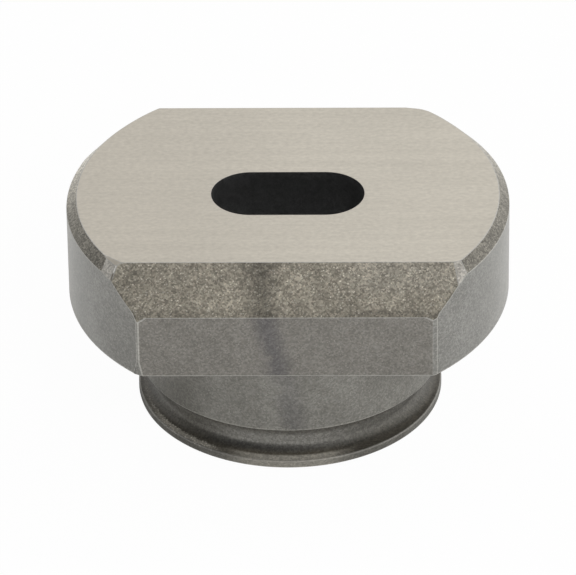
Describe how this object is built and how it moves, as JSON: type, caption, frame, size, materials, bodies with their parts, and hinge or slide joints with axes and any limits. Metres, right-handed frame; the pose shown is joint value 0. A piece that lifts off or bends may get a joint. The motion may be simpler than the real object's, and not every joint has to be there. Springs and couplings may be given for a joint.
{
  "type": "punch die",
  "caption": "Round-headed punch die with parallel flats, sloping nose, obround die opening and grooved shank for a hydraulic hole puncher.",
  "frame": {"origin": "centre of the bottom face, on the shank axis", "axes": "+Z along the shank axis towards the cutting face, +X along the die opening, -Y out of the front flat below the sloping nose"},
  "size_m": [0.039, 0.0292, 0.02],
  "materials": {
    "tool_steel": "hardened tool steel: ground cutting face, blasted nose and rim chamfer, satin flats and sides"
  },
  "bodies": {
    "root": {"die_body": "tool_steel"}
  },
  "joints": []
}
